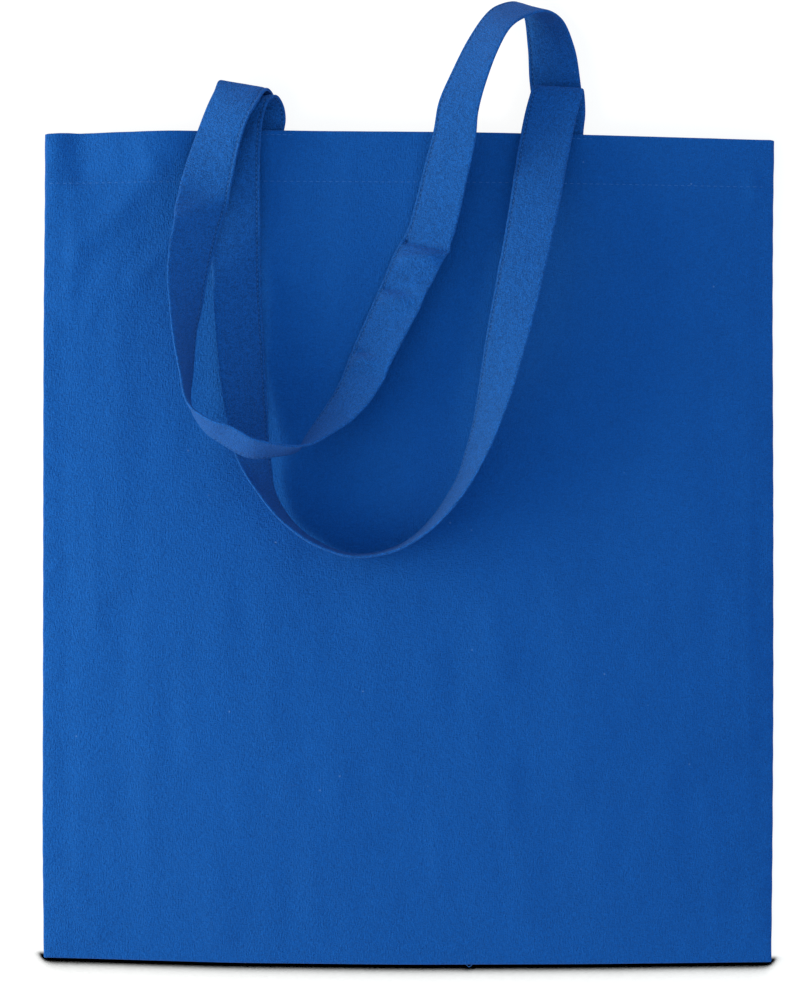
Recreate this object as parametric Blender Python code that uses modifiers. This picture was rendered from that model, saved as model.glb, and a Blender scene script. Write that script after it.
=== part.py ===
# A long-handled cotton shopper, lying on its back panel with the front panel up and the mouth towards +Y.
# The origin is the middle of the back panel's underside.
import math

import bmesh
import bpy
from mathutils import Vector

# Bag, in metres
BAG_WIDTH = 0.370         # across the side seams
BAG_HEIGHT = 0.420        # bottom fold to mouth
CLOTH = 0.00045           # one layer of cloth
HEM_DEPTH = 0.026         # turned edge round the mouth
FOLDED_LAYERS = 3         # layers of cloth in the hem, and where a seam allowance lies on the back panel
SEAM_ALLOWANCE = 0.011    # loose cloth inside each side seam
FULLNESS = 0.012          # height of the middle of the front panel
MOUTH_OPEN = 0.0105       # height of the middle of the mouth
EDGE_THICK = 0.0024       # side seams and bottom fold
CORNER_THICK = 0.0042     # side seams where they run through the hem
BOTTOM_RISE = 0.150       # from the bottom fold to where the panel is full
CORNER_RISE = 0.040       # length over which a side seam thickens towards the hem
SWELL_POWER = 2.6         # how evenly full the panel is: higher is flatter, with steeper edges
FALL_POWER = 2            # how late the panel falls from its middle to the mouth

# Handles, in metres
TAPE_WIDTH = 0.026
TAPE_THICK = 0.0015       # four layers, pressed and stitched
HANDLE_SPACING = 0.152    # between the middles of a handle's two ends
SEWN_LENGTH = 0.028       # part of each end inside the hem
CLEARANCE = 0.0003        # between pieces that touch

# Steps of the meshes
ROW_STEP = 0.020
COLUMN_STEP = 0.019
LAYER_STEP = 0.0006       # length over which the cloth goes from one layer to several
TAPE_STEP = 0.005
TAPE_STRIPS = 4
LEAST_STEPS = 3           # between two neighbouring stations
SEWN_STEPS = 2            # along the part of an end inside the hem

MOUTH = BAG_HEIGHT / 2
FOLDED = CLOTH * FOLDED_LAYERS

# The loops are laid out in 26ths of the tape's width, which are millimetres on a 26 mm tape.
LOOP_UNIT = TAPE_WIDTH / 26


def fullness_over(u):
    """How full the panel is at a share u of the way from its middle to its edge: 1 to 0."""
    return 1 - min(1.0, abs(u)) ** SWELL_POWER


def seam_thick(y):
    """Thickness of the bag at its side seams."""
    share = min(1.0, max(0.0, 1 - (MOUTH - HEM_DEPTH - y) / CORNER_RISE))
    return EDGE_THICK + (CORNER_THICK - EDGE_THICK) * share


def panel_top(x, y):
    """Height of the front panel's outer face. Beyond the mouth it is the height of the mouth."""
    y = min(y, MOUTH)
    from_bottom = y + BAG_HEIGHT / 2
    if from_bottom < BOTTOM_RISE:
        middle = EDGE_THICK + (FULLNESS - EDGE_THICK) * fullness_over(1 - from_bottom / BOTTOM_RISE)
    else:
        share = (from_bottom - BOTTOM_RISE) / (BAG_HEIGHT - BOTTOM_RISE)
        middle = FULLNESS + (MOUTH_OPEN - FULLNESS) * share ** FALL_POWER
    edge = seam_thick(y)
    return edge + max(0.0, middle - edge) * fullness_over(x / (BAG_WIDTH / 2))


def spaced(start, end, step):
    """Evenly spaced places strictly between start and end, at most a step apart."""
    count = max(1, math.ceil((end - start) / step))
    return [start + (end - start) * i / count for i in range(1, count)]


def material(name, color, roughness):
    mat = bpy.data.materials.new(name)
    mat.use_nodes = True
    shader = mat.node_tree.nodes["Principled BSDF"]
    shader.inputs["Base Color"].default_value = (*color, 1)
    shader.inputs["Roughness"].default_value = roughness
    shader.inputs["Metallic"].default_value = 0
    return mat


def new_object(name, bm, mat):
    mesh = bpy.data.meshes.new(name)
    bm.to_mesh(mesh)
    bm.free()
    mesh.materials.append(mat)
    obj = bpy.data.objects.new(name, mesh)
    bag.objects.link(obj)
    return obj


def bag_body():
    """The cloth of the bag: a sleeve closed at the bottom, thicker at the hem and the seam allowances."""
    half = BAG_WIDTH / 2
    bm = bmesh.new()
    bmesh.ops.create_cube(bm, size=1)
    bmesh.ops.scale(bm, verts=bm.verts, vec=(BAG_WIDTH, BAG_HEIGHT, EDGE_THICK))
    bmesh.ops.translate(bm, verts=bm.verts, vec=(0, 0, EDGE_THICK / 2))

    loose = half - SEAM_ALLOWANCE
    columns = [-loose, loose, -loose + LAYER_STEP, loose - LAYER_STEP]
    columns += spaced(-loose + LAYER_STEP, loose - LAYER_STEP, COLUMN_STEP)
    hem = MOUTH - HEM_DEPTH
    rows = [hem, hem - LAYER_STEP]
    rows += spaced(-BAG_HEIGHT / 2, hem - LAYER_STEP, ROW_STEP) + spaced(hem, MOUTH, ROW_STEP)
    for x in columns:
        everything = bm.verts[:] + bm.edges[:] + bm.faces[:]
        bmesh.ops.bisect_plane(bm, geom=everything, plane_co=(x, 0, 0), plane_no=(1, 0, 0))
    for y in rows:
        everything = bm.verts[:] + bm.edges[:] + bm.faces[:]
        bmesh.ops.bisect_plane(bm, geom=everything, plane_co=(0, y, 0), plane_no=(0, 1, 0))

    mouth_faces = [f for f in bm.faces if f.calc_center_median().y > MOUTH - CLEARANCE]
    bmesh.ops.delete(bm, geom=mouth_faces, context="FACES")
    for v in bm.verts:
        if v.co.z > EDGE_THICK / 2:
            v.co.z = panel_top(v.co.x, v.co.y)

    body = new_object("bag_body", bm, material("blue_cloth", (0.007, 0.095, 0.39), 0.85))
    folded = body.vertex_groups.new(name="folded")
    for v in body.data.vertices:
        on_back = v.co.z < EDGE_THICK / 2
        in_hem = v.co.y > hem - LAYER_STEP / 2
        in_allowance = on_back and abs(v.co.x) > loose - LAYER_STEP / 2
        if in_hem or in_allowance:
            folded.add([v.index], 1, "REPLACE")
    thick = body.modifiers.new("cloth", "SOLIDIFY")
    thick.thickness = FOLDED
    thick.offset = -1
    thick.use_even_offset = True
    thick.vertex_group = "folded"
    thick.thickness_vertex_group = 1 / FOLDED_LAYERS
    return body


# Stations of a handle, from the left end to the right end. Each is (across, along, lift, heading, lean).
# across is counted from the origin of its run, along from the mouth, lift from the run's ground to the
# lower edge. heading is the direction from the stitched edge to the plain edge, in degrees from +X.
# lean is how far the plain edge is turned up, in degrees.
FRONT_ROUTE = [
    ("left", "sewn", [
        (1, 7, 0, 180, 0),
        (0, 14.5, 0, 178, 0),
    ]),
    ("left", "panel", [
        (-6, 18, 1.5, 176, -8),
        (-9.5, 10, 2, 178, -4),
        (-11.5, -9, 4, 181, 4),
        (-11.5, -42, 6.5, 181, 11),
        (-10.5, -76, 9, 181, 22),
        (-8.5, -110, 10, 181, 26),
        (-6, -136, 8, 184, 35),
        (-2.5, -161, 5.5, 198, 49),
        (6.5, -185, 3, 216, 76),
        (16.5, -198, 2, 235, 84),
    ]),
    ("middle", "panel", [
        (-44, -209, 1.5, 250, 87),
        (-27, -214, 1.5, 268, 89),
        (-7, -211, 1.5, 290, 87),
        (11, -199, 1.5, 308, 83),
    ]),
    ("right", "panel", [
        (-49.5, -179, 3, 324, 76),
        (-42.5, -164, 5, 337, 68),
        (-36.5, -147, 8, 344, 60),
        (-30.5, -123, 12, 348, 47),
        (-24.5, -96, 15, 348, 35),
        (-18, -66, 15, 348, 28),
        (-12.5, -38, 12, 349, 19),
        (-8, -12, 7, 348, 10),
        (-4, 8, 3, 350, 4),
        (-0.5, 21, 1.3, 354, 0),
    ]),
    ("right", "sewn", [
        (0.5, 21, 0, 358, 0),
        (1, 10, 0, 360, 0),
    ]),
]

FRONT_FOLDS = (2.9, 2.0)  # how far each fold over the mouth reaches beyond the stations beside it

BACK_ROUTE = [
    ("left", "sewn", [
        (-1, 8, 0, 180, 0),
        (-3, 16, 0.5, 176, 0),
    ]),
    ("left", "panel", [
        (-11.5, 17, 2.5, 160, -28),
        (-15.5, 9, 3.5, 158, -31),
        (-20.5, -6, 5, 162, -26),
        (-24.5, -21, 9, 166, -14),
        (-27.5, -35, 14, 168, 6),
        (-30.5, -48, 17, 169, 24),
        (-33, -62, 19.5, 171, 34),
        (-35, -74, 19, 172, 42),
        (-35.5, -89, 16, 174, 54),
        (-36.5, -101, 14, 176, 65),
        (-35.5, -119, 15, 186, 76),
        (-33.5, -138, 19, 204, 90),
        (-23.5, -149, 25, 228, 105),
        (-15.5, -153, 27.5, 234, 112),
        (-2.5, -160, 26.5, 254, 112),
        (8.5, -161, 22, 266, 104),
    ]),
    ("middle", "panel", [
        (-56, -160, 16, 282, 94),
        (-50, -156, 13.5, 304, 78),
        (-43, -150, 12, 314, 67),
        (-34, -141, 10.5, 323, 54),
        (-26, -130, 9.5, 329, 44),
    ]),
    ("right", "panel", [
        (-95.5, -116, 9, 333, 37),
        (-79.5, -82, 8.5, 335, 30),
        (-72.5, -66, 8.5, 336, 27),
        (-61.5, -40, 8.5, 342, 27),
        (-57.5, -23, 9, 344, 30),
        (-52.5, -2, 10, 346, 34),
    ]),
    ("right", "floor", [
        (-50.5, 12, 20, 342, 38),
        (-45.5, 26, 21, 338, 46),
        (-38.5, 42, 21, 336, 52),
        (-31.5, 54, 19, 334, 54),
        (-24.5, 60, 15, 334, 52),
        (-13.5, 63, 8, 338, 52),
        (-7.5, 58, 3.5, 350, 43),
        (-3.5, 44, 2, 360, 28),
        (-1.5, 28, 1.5, 360, 10),
        (0, 14, 1.5, 360, 2),
    ]),
]


BACK_FOLDS = (7.65,)


def sewn_level(front):
    """Height of the middle of the tape where it is sewn to the inner face of its hem."""
    if front:
        lowest = panel_top(HANDLE_SPACING / 2 + TAPE_WIDTH / 2, MOUTH)
        return lowest - FOLDED - CLEARANCE - TAPE_THICK / 2
    return FOLDED + CLEARANCE + TAPE_THICK / 2


def sewn_end(side, level):
    """Stations of the part of an end that lies inside the hem, from its tip to the mouth."""
    x = side * HANDLE_SPACING / 2
    across = Vector((side, 0, 0))
    depths = [SEWN_LENGTH * (1 - i / SEWN_STEPS) for i in range(SEWN_STEPS + 1)]
    return [(Vector((x, MOUTH - depth, level)), across) for depth in depths]


def laid_run(origin, ground, rows, level):
    """Places and width directions of one run of a route."""
    start = {"left": -HANDLE_SPACING / 2, "middle": 0, "right": HANDLE_SPACING / 2}[origin]
    run = []
    for across, along, lift, heading, lean in rows:
        x = start + across * LOOP_UNIT
        y = MOUTH + along * LOOP_UNIT
        z = lift * LOOP_UNIT
        heading = math.radians(heading)
        lean = math.radians(lean)
        flat = math.cos(lean)
        width = Vector((math.cos(heading) * flat, math.sin(heading) * flat, math.sin(lean)))
        if ground == "sewn":
            z += level
        else:
            z += TAPE_WIDTH / 2 * abs(math.sin(lean))
        if ground == "panel":
            z += panel_top(x, y)
        run.append((Vector((x, y, z)), width))
    return run


def laid_route(route, folds, level):
    """Stations of a whole handle. Each fold over the mouth gets a station of its own."""
    stations = sewn_end(-1, level)
    reaches = iter(folds)
    ground_before = None
    for origin, ground, rows in route:
        run = laid_run(origin, ground, rows, level)
        if ground_before and "sewn" in (ground_before, ground):
            (rising, width_up), (falling, width_down) = stations[-1], run[0]
            turn = (rising + falling) / 2
            turn.y += next(reaches) * LOOP_UNIT
            stations.append((turn, (width_up + width_down).normalized()))
        stations += run
        ground_before = ground
    return stations + sewn_end(1, level)[::-1]


def spline_value(values, knots, t):
    """Value at t of the curve that passes through values[1] and values[2] at knots[1] and knots[2]."""
    def between(a, b, low, high):
        return a.lerp(b, (t - knots[low]) / (knots[high] - knots[low]))

    a = [between(values[i], values[i + 1], i, i + 1) for i in range(3)]
    b = [between(a[0], a[1], 0, 2), between(a[1], a[2], 1, 3)]
    return between(b[0], b[1], 1, 2)


def smoothed(stations):
    """Points along a smooth curve through the stations, each with the direction of the tape's width."""
    before = (stations[0][0] * 2 - stations[1][0], stations[0][1])
    after = (stations[-1][0] * 2 - stations[-2][0], stations[-1][1])
    padded = [before] + stations + [after]
    points = []
    for i in range(1, len(padded) - 2):
        four = padded[i - 1:i + 3]
        knots = [0.0]
        for a, b in zip(four, four[1:]):
            knots.append(knots[-1] + math.sqrt((b[0] - a[0]).length))
        steps = max(LEAST_STEPS, math.ceil((four[2][0] - four[1][0]).length / TAPE_STEP))
        for k in range(steps):
            t = knots[1] + (knots[2] - knots[1]) * k / steps
            points.append(tuple(spline_value([s[j] for s in four], knots, t) for j in (0, 1)))
    points.append(stations[-1])
    return [(place, width.normalized()) for place, width in points]


def handle(name, route, folds, front):
    """One tape, sewn to the front or the back panel, from its left end to its right end."""
    points = smoothed(laid_route(route, folds, sewn_level(front)))
    rows = len(points) - 1
    bm = bmesh.new()
    bmesh.ops.create_grid(bm, x_segments=TAPE_STRIPS, y_segments=rows, size=1)
    for v in bm.verts:
        place, width = points[round((v.co.y + 1) / 2 * rows)]
        v.co = place + width * (v.co.x * TAPE_WIDTH / 2)
    tape = new_object(name, bm, material(name + "_cloth", (0.010, 0.105, 0.41), 0.85))
    thick = tape.modifiers.new("layers", "SOLIDIFY")
    thick.thickness = TAPE_THICK
    thick.offset = 0
    thick.use_even_offset = True
    return tape


for old in list(bpy.data.objects):
    bpy.data.objects.remove(old, do_unlink=True)

bag = bpy.data.collections.new("shopping_bag")
bpy.context.scene.collection.children.link(bag)
bag_body()
handle("front_handle", FRONT_ROUTE, FRONT_FOLDS, True)
handle("back_handle", BACK_ROUTE, BACK_FOLDS, False)
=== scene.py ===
import math

import bpy
import numpy as np
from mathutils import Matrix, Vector


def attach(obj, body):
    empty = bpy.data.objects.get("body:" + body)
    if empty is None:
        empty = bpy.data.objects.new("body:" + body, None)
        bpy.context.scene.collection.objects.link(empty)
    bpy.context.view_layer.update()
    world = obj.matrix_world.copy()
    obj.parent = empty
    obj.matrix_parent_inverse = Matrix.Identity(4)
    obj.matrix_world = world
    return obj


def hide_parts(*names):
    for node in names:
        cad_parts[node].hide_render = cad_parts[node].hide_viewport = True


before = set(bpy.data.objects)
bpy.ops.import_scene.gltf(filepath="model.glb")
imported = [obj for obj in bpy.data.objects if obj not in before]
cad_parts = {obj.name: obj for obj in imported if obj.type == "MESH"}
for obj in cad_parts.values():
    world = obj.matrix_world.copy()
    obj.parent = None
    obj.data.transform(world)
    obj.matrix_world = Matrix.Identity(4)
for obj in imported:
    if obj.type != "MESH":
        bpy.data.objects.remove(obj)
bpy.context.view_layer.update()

scene = bpy.context.scene
scene.view_settings.view_transform = "Standard"
mm = 0.001

# camera, lamps, world and floor

studio = {
    "cameraPlace": (-0.0028, 0.0241, 2.6),
    "focal": 184.0,                 # mm
    "sensor": 36,                   # mm, its long side upright
    "farthest": 20,                 # m, how far the camera sees
    "keyPlace": (-0.934, -0.030, 0.355),
    "keyAim": (0.0, -0.01, 0.0),
    "keySize": (0.80, 0.34),        # level and upright
    "keyPower": 9.5,
    "keyTint": (1.24, 1.0, 0.71),
    "ambient": 0.72,                # light from all round
    "ambientTint": (0.73, 0.99, 1.11, 1),
    "floorSize": 6.0,
    "floorDrop": 0.0003,            # of the floor below the bag's back
    "floorTint": (0.82, 0.82, 0.82, 1),
    "floorSeen": 0.14,              # how much of the floor's own shading the camera sees
    "floorGlow": 1.12,
    "paintedShadowReach": 0.018,          # of a painted shadow: a dark line painted into the floor's colour where the bag's bottom meets the floor
    "paintedShadowRays": 32,
    "paintedShadowLine": (-0.2085, -0.2058),  # it is full below the first height and nearly gone above the second
    "paintedShadowTilt": 0.007,           # how much lower it lies to the right, for each metre
    "paintedShadowLeft": 0.05,            # what stays of it above the line
    "paintedShadowOpen": (0.87, 0.995),   # the open share of the sky at which it is full, and at which it has gone
}


class Wire:                         # a node's output, on which Python's operators add Math nodes
    def __init__(self, tree, socket=None):
        self.tree = tree
        self.socket = socket

    def node(self, kind, settings=None, sockets=None, output=0):
        made = self.tree.nodes.new(kind)
        for name, value in (settings or {}).items():
            setattr(made, name, value)
        for name, value in (sockets or {}).items():
            if isinstance(value, Wire):
                self.tree.links.new(value.socket, made.inputs[name])
            else:
                made.inputs[name].default_value = value
        return Wire(self.tree, made.outputs[output])

    def out(self, name):            # another output of the same node
        return Wire(self.tree, self.socket.node.outputs[name])

    def maths(self, operation, *values):
        return self.node("ShaderNodeMath", {"operation": operation}, dict(enumerate(values)))

    def parts(self):                # its X, with Y and Z as other outputs
        return self.node("ShaderNodeSeparateXYZ", None, {"Vector": self})

    def noise(self, scale, detail, roughness=0.5):
        return self.node("ShaderNodeTexNoise", None, {
            "Vector": self, "Scale": scale, "Detail": detail, "Roughness": roughness})

    def __add__(self, other):
        return self.maths("ADD", self, other)

    def __radd__(self, other):
        return self.maths("ADD", other, self)

    def __sub__(self, other):
        return self.maths("SUBTRACT", self, other)

    def __rsub__(self, other):
        return self.maths("SUBTRACT", other, self)

    def __mul__(self, other):
        return self.maths("MULTIPLY", self, other)

    def __rmul__(self, other):
        return self.maths("MULTIPLY", other, self)

    def __truediv__(self, other):
        return self.maths("DIVIDE", self, other)

    def __rtruediv__(self, other):
        return self.maths("DIVIDE", other, self)


def newTree(owner):
    owner.use_nodes = True
    owner.node_tree.nodes.clear()
    return Wire(owner.node_tree)


def linkOutput(wire, kind, surface):
    end = wire.tree.nodes.new(kind)
    wire.tree.links.new(surface.socket, end.inputs["Surface"])


def smoothStep(wire, value, fromRange, toRange):
    return wire.node("ShaderNodeMapRange", {"interpolation_type": "SMOOTHSTEP"}, {
        "Value": value, "From Min": fromRange[0], "From Max": fromRange[1],
        "To Min": toRange[0], "To Max": toRange[1]})


def deselectAll():
    if bpy.context.object and bpy.context.object.mode != "OBJECT":
        bpy.ops.object.mode_set(mode="OBJECT")
    bpy.ops.object.select_all(action="DESELECT")


def aimAt(thing, target):
    thing.rotation_euler = (Vector(target) - thing.location).to_track_quat("-Z", "Y").to_euler()


def backgroundRay(wire):            # 1 for the rays that should meet a white background
    seen = wire.node("ShaderNodeLightPath", output="Is Camera Ray")
    mirrored, through = seen.out("Is Glossy Ray"), seen.out("Is Transmission Ray")
    return seen.maths("MAXIMUM", seen, seen.maths("MAXIMUM", mirrored, through))


def makeCamera():
    deselectAll()
    bpy.ops.object.camera_add(location=studio["cameraPlace"], rotation=(0, 0, 0))      # it looks straight down
    camera = bpy.context.object
    camera.data.sensor_width = studio["sensor"]
    camera.data.lens = studio["focal"]
    camera.data.clip_end = studio["farthest"]
    scene.camera = camera


def makeLight():
    bpy.ops.object.light_add(type="AREA", location=studio["keyPlace"])
    key = bpy.context.object
    key.name = "keyLamp"
    key.data.shape = "RECTANGLE"
    key.data.size, key.data.size_y = studio["keySize"]
    key.data.energy = studio["keyPower"]
    key.data.color = studio["keyTint"]
    aimAt(key, studio["keyAim"])

    world = bpy.data.worlds.new("paleRoom")
    scene.world = world
    wire = newTree(world)
    lit = wire.node("ShaderNodeBackground", None, {"Color": studio["ambientTint"], "Strength": studio["ambient"]})
    seen = wire.node("ShaderNodeBackground", None, {"Color": (1, 1, 1, 1), "Strength": 1.0})
    both = wire.node("ShaderNodeMixShader", None, {0: backgroundRay(wire), 1: lit, 2: seen})
    linkOutput(wire, "ShaderNodeOutputWorld", both)


def makeFloor():
    deselectAll()
    bpy.ops.mesh.primitive_plane_add(size=studio["floorSize"], location=(0, 0, -studio["floorDrop"]))
    floor = bpy.context.object
    floor.name = "floor"
    paper = bpy.data.materials.new("palePaper")
    wire = newTree(paper)
    own = wire.node("ShaderNodeBsdfDiffuse", None, {"Color": studio["floorTint"]})
    # painted shadow: ambient occlusion, kept to a band below the bag's bottom edge, darkens the floor's colour, so this
    # shadow is painted and not cast by the lamp
    near = wire.node("ShaderNodeAmbientOcclusion", {"samples": studio["paintedShadowRays"]},
                     {"Distance": studio["paintedShadowReach"]}, output="AO")
    place = wire.node("ShaderNodeTexCoord", output="Object").parts()
    height = place.out("Y") + place * studio["paintedShadowTilt"]
    below = smoothStep(wire, height, studio["paintedShadowLine"], (1.0, studio["paintedShadowLeft"]))
    clear = smoothStep(wire, near, studio["paintedShadowOpen"], (0.0, 1.0))
    shade = 1 - below * (1 - clear)
    paintedShadowTone = wire.node("ShaderNodeCombineXYZ", None, {"X": shade, "Y": shade, "Z": shade})
    glow = wire.node("ShaderNodeEmission", None, {"Color": paintedShadowTone, "Strength": studio["floorGlow"]})
    dimmed = wire.node("ShaderNodeBsdfDiffuse", None, {"Color": paintedShadowTone})
    seen = wire.node("ShaderNodeMixShader", None, {0: 1 - studio["floorSeen"], 1: dimmed, 2: glow})
    both = wire.node("ShaderNodeMixShader", None, {0: backgroundRay(wire), 1: own, 2: seen})
    linkOutput(wire, "ShaderNodeOutputMaterial", both)
    floor.data.materials.append(paper)


makeCamera()
makeLight()
makeFloor()
print("studio made")

# cloth and thread finishes

weave = {
    "pitch": 0.00042,               # from one yarn to the next
    "wander": 0.5,                  # how far a yarn strays, in yarns
    "wanderScale": 45.0,
    "slubLength": 260.0,            # thick and thin places, for each metre of yarn
    "yarnApart": 0.737,             # how far apart two neighbours lie in the noise of those places
    "yarnContrast": 0.28,
    "crossingContrast": 0.40,
    "slubDetail": (2.0, 0.6),       # detail and roughness of their noise
    "yarnHigh": (0.55, 0.45),       # shares of its round section and of its way over and under
    "grainScale": 1400.0,           # small unevenness of the surface
    "grainStretch": 0.33,
    # painted shade: the colour is darkened between the yarns, where shade falls
    "gapPaintedShade": 0.10,
    "cloudScale": 26.0,             # uneven dye
    "cloudDetail": (4.0, 0.55),
    "cloudContrast": 0.06,
    "seeds": (1.7, 8.3, 2.9, 6.4),  # of the two yarns' thick places and of the two grains
    "bumpHeight": 0.00030,
    "relief": (0.3, 0.4, 0.2),      # in the bump: the weave, the thick places and the single crossings
    "roughness": (0.68, 0.58),      # between the yarns and on top of them
    "seamAt": -0.0111,              # where the thread of a tape pulls the cloth in, across the tape; the colour is painted darker there as shade in that groove
    "seamWide": 0.00075,            # half the width of that groove
    "backShift": 0.6,               # the back panel is another part of the cut cloth, and so is a tape's other face
    "lintCells": 90.0,
    "lintSize": 0.055,
    "lintLeast": 0.82,              # the cells whose own number is higher have a fleck
    "lintStrength": (1.5, 0.6),     # how fast a fleck turns pale, and how pale it may be
}

finishes = {
    "bagCotton": {
        "tint": (0.0032, 0.0955, 0.420), "pale": (0.10, 0.22, 0.52), "sheen": 0.06,
        "grain": 5.5, "contrast": 0.65, "seamPaintedShade": 0.0},
    "tapeCotton": {
        "tint": (0.0080, 0.1045, 0.430), "pale": (0.10, 0.22, 0.52), "sheen": 0.05,
        "grain": 7.0, "contrast": 1.5, "seamPaintedShade": 0.34},
}

threadFinish = {
    "tint": (0.018, 0.150, 0.50),
    # the darker colour: painted shade in the ply's grooves, and wear where the worn noise is low
    "shade": (0.009, 0.110, 0.43),
    "roughness": 0.62,
    "roughSpread": 0.1,
    "sheen": 0.05,
    "twist": 2600.0,                # turns of the ply, for each metre
    "twistDepth": 0.00004,
    "twistStrength": 0.6,
    "wornScale": 400.0,
}


def cottonFinish(name, look):
    mat = bpy.data.materials.new(name)
    wire = newTree(mat)
    cut = wire.node("ShaderNodeUVMap", {"uv_map": "cut"})
    stray = cut.noise(weave["wanderScale"], 2.0).out("Color").parts()
    flat = cut.parts()
    acrossWarp = flat / weave["pitch"] + (stray - 0.5) * weave["wander"] * 2
    acrossWeft = flat.out("Y") / weave["pitch"] + (stray.out("Y") - 0.5) * weave["wander"] * 2
    warp = acrossWarp.maths("FLOOR", acrossWarp)
    weft = acrossWeft.maths("FLOOR", acrossWeft)
    offWarp = acrossWarp - warp - 0.5
    offWeft = acrossWeft - weft - 0.5
    over = 1 - 2 * warp.maths("FLOORED_MODULO", warp + weft, 2.0)
    rounded, waved = weave["yarnHigh"]
    warpHigh = rounded * (1 - 4 * offWarp * offWarp) + waved * offWeft.maths("COSINE", offWeft * math.pi) * over
    weftHigh = rounded * (1 - 4 * offWeft * offWeft) - waved * offWarp.maths("COSINE", offWarp * math.pi) * over
    height = warpHigh.maths("MAXIMUM", warpHigh, weftHigh)
    onWarp = warpHigh.maths("GREATER_THAN", warpHigh, weftHigh)

    def stretchedNoise(x, y, seed):
        place = wire.node("ShaderNodeCombineXYZ", None, {"X": x, "Y": y, "Z": seed})
        return place.noise(1.0, *weave["slubDetail"])

    def longGrain(scaleX, scaleY, seed):        # unevenness drawn out along the yarns
        return stretchedNoise(flat * scaleX, flat.out("Y") * scaleY, seed)

    warpSeed, weftSeed, upSeed, levelSeed = weave["seeds"]
    warpNoise = stretchedNoise(warp * weave["yarnApart"], flat.out("Y") * weave["slubLength"], warpSeed)
    weftNoise = stretchedNoise(weft * weave["yarnApart"], flat * weave["slubLength"], weftSeed)
    yarn = wire.node("ShaderNodeMix", {"data_type": "FLOAT"}, {0: onWarp, 2: weftNoise, 3: warpNoise})
    crossing = wire.node("ShaderNodeCombineXYZ", None, {"X": warp, "Y": weft, "Z": onWarp})
    speck = wire.node("ShaderNodeTexWhiteNoise", None, {"Vector": crossing})
    cloud = cut.noise(weave["cloudScale"], *weave["cloudDetail"])
    uneven = weave["yarnContrast"] * 2 * (yarn - 0.5) + weave["crossingContrast"] * (speck - 0.5)
    # the yarns' own tone and the uneven dye, with painted shade between the yarns
    bright = (1 + look["contrast"] * uneven + weave["cloudContrast"] * 2 * (cloud - 0.5)
              - weave["gapPaintedShade"] * (1 - height))
    onBack = flat.maths("GREATER_THAN", flat, weave["backShift"] / 2)
    # painted shade: a tape's colour is darkened in the groove along its stitches
    offSeam = (flat - weave["backShift"] * onBack - weave["seamAt"]) / weave["seamWide"]
    groove = offSeam.maths("MAXIMUM", 1 - offSeam * offSeam, 0.0)
    shaded = bright * (1 - look["seamPaintedShade"] * groove)
    tint = wire.node("ShaderNodeVectorMath", {"operation": "SCALE"}, {0: look["tint"], "Scale": shaded})
    lint = wire.node("ShaderNodeTexVoronoi", None, {"Vector": cut, "Scale": weave["lintCells"], "Randomness": 1.0})
    cell = lint.out("Color").parts()
    fleck = lint.maths("MAXIMUM", 1 - lint / weave["lintSize"], 0.0)
    fleck = fleck * cell.maths("GREATER_THAN", cell, weave["lintLeast"])
    quick, palest = weave["lintStrength"]
    colour = wire.node("ShaderNodeMix", {"data_type": "RGBA"}, {
        0: fleck.maths("MINIMUM", fleck * quick, palest), 6: tint, 7: (*look["pale"], 1)}, output=2)
    short, long = weave["grainScale"], weave["grainScale"] * weave["grainStretch"]
    grain = 0.5 * longGrain(short, long, upSeed) + 0.5 * longGrain(long, short, levelSeed)
    ofWeave, ofSlubs, ofSpecks = weave["relief"]
    relief = ofWeave * height + ofSlubs * yarn + ofSpecks * speck + look["grain"] * grain
    bump = wire.node("ShaderNodeBump", None, {"Strength": 1.0, "Distance": weave["bumpHeight"], "Height": relief})
    between, onTop = weave["roughness"]
    surface = wire.node("ShaderNodeBsdfPrincipled", None, {
        "Base Color": colour, "Roughness": between - (between - onTop) * height, "Normal": bump,
        "IOR": 1.45, "Specular IOR Level": 0.04,
        "Sheen Weight": look["sheen"], "Sheen Roughness": 0.6, "Sheen Tint": (1.0, 0.96, 0.92, 1)})
    linkOutput(wire, "ShaderNodeOutputMaterial", surface)
    return mat


def threadCotton(name):
    mat = bpy.data.materials.new(name)
    wire = newTree(mat)
    place = wire.node("ShaderNodeTexCoord", output="Object")
    ply = wire.node("ShaderNodeTexWave", {"bands_direction": "DIAGONAL"}, {
        "Vector": place, "Scale": threadFinish["twist"], "Distortion": 1.0, "Detail": 1.0})
    worn = place.noise(threadFinish["wornScale"], 2.0)
    # darker in the ply's grooves as painted shade, and darker where worn, as wear
    colour = wire.node("ShaderNodeMix", {"data_type": "RGBA"}, {
        0: 0.5 * ply + 0.5 * worn, 6: (*threadFinish["shade"], 1), 7: (*threadFinish["tint"], 1)}, output=2)
    bump = wire.node("ShaderNodeBump", None, {
        "Strength": threadFinish["twistStrength"], "Distance": threadFinish["twistDepth"], "Height": ply})
    surface = wire.node("ShaderNodeBsdfPrincipled", None, {
        "Base Color": colour, "Roughness": threadFinish["roughness"] + threadFinish["roughSpread"] * worn,
        "Normal": bump, "IOR": 1.45,
        "Sheen Weight": threadFinish["sheen"], "Sheen Roughness": 0.4, "Sheen Tint": (0.8, 0.9, 1.0, 1)})
    linkOutput(wire, "ShaderNodeOutputMaterial", surface)
    return mat


bagCotton = cottonFinish("bagCotton", finishes["bagCotton"])
tapeCotton = cottonFinish("tapeCotton", finishes["tapeCotton"])
thread = threadCotton("sewingThread")
print("finishes made")

# the bag's shape, which the cloth, its stitches and the handles share

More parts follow.
